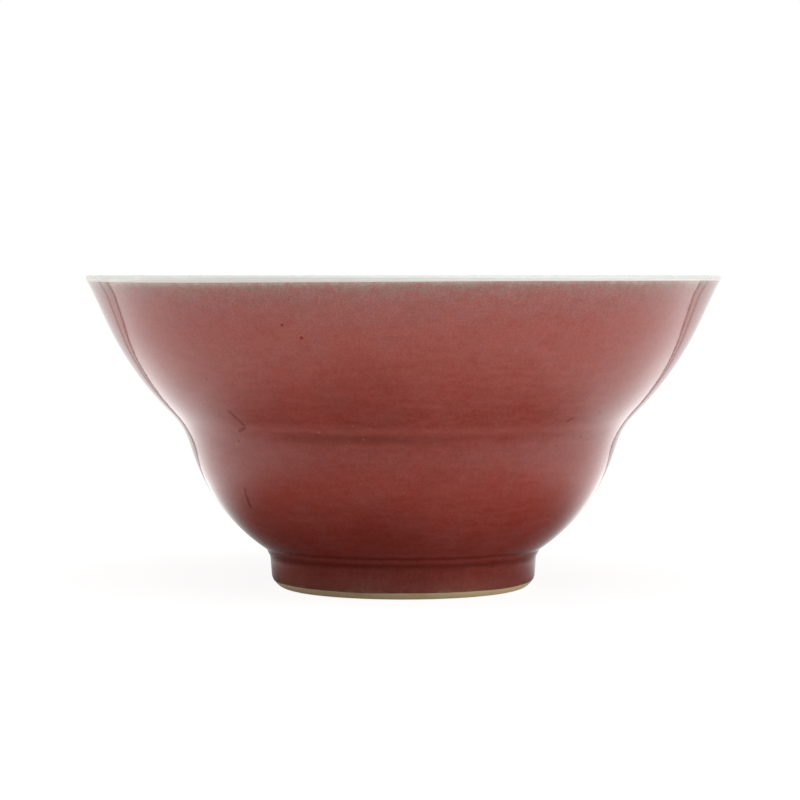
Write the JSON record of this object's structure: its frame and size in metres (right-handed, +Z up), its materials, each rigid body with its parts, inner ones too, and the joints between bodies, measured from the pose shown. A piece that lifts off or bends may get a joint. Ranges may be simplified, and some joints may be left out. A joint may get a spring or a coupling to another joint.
{
  "type": "footed bowl",
  "caption": "Waisted porcelain bowl on a foot ring, with a copper-red glazed outside, a white lip band and a white glazed inside.",
  "frame": {"origin": "centre of the foot ring, at the plane it stands on", "axes": "+Z up along the bowl's axis; +X and +Y are interchangeable"},
  "size_m": [0.1876, 0.1876, 0.0928],
  "materials": {
    "porcelain": "bare fired porcelain, burnt to beige on the foot's edge",
    "copper_red_glaze": "glossy copper-red glaze, mottled, greyer where it is thin",
    "lip_glaze": "glossy cream-white glaze",
    "white_glaze": "glossy colourless glaze over white porcelain"
  },
  "bodies": {
    "root": {"porcelain_body": "porcelain", "copper_red_glaze": "copper_red_glaze", "lip_glaze": "lip_glaze", "inner_glaze": "white_glaze", "base_glaze": "white_glaze"}
  },
  "joints": []
}
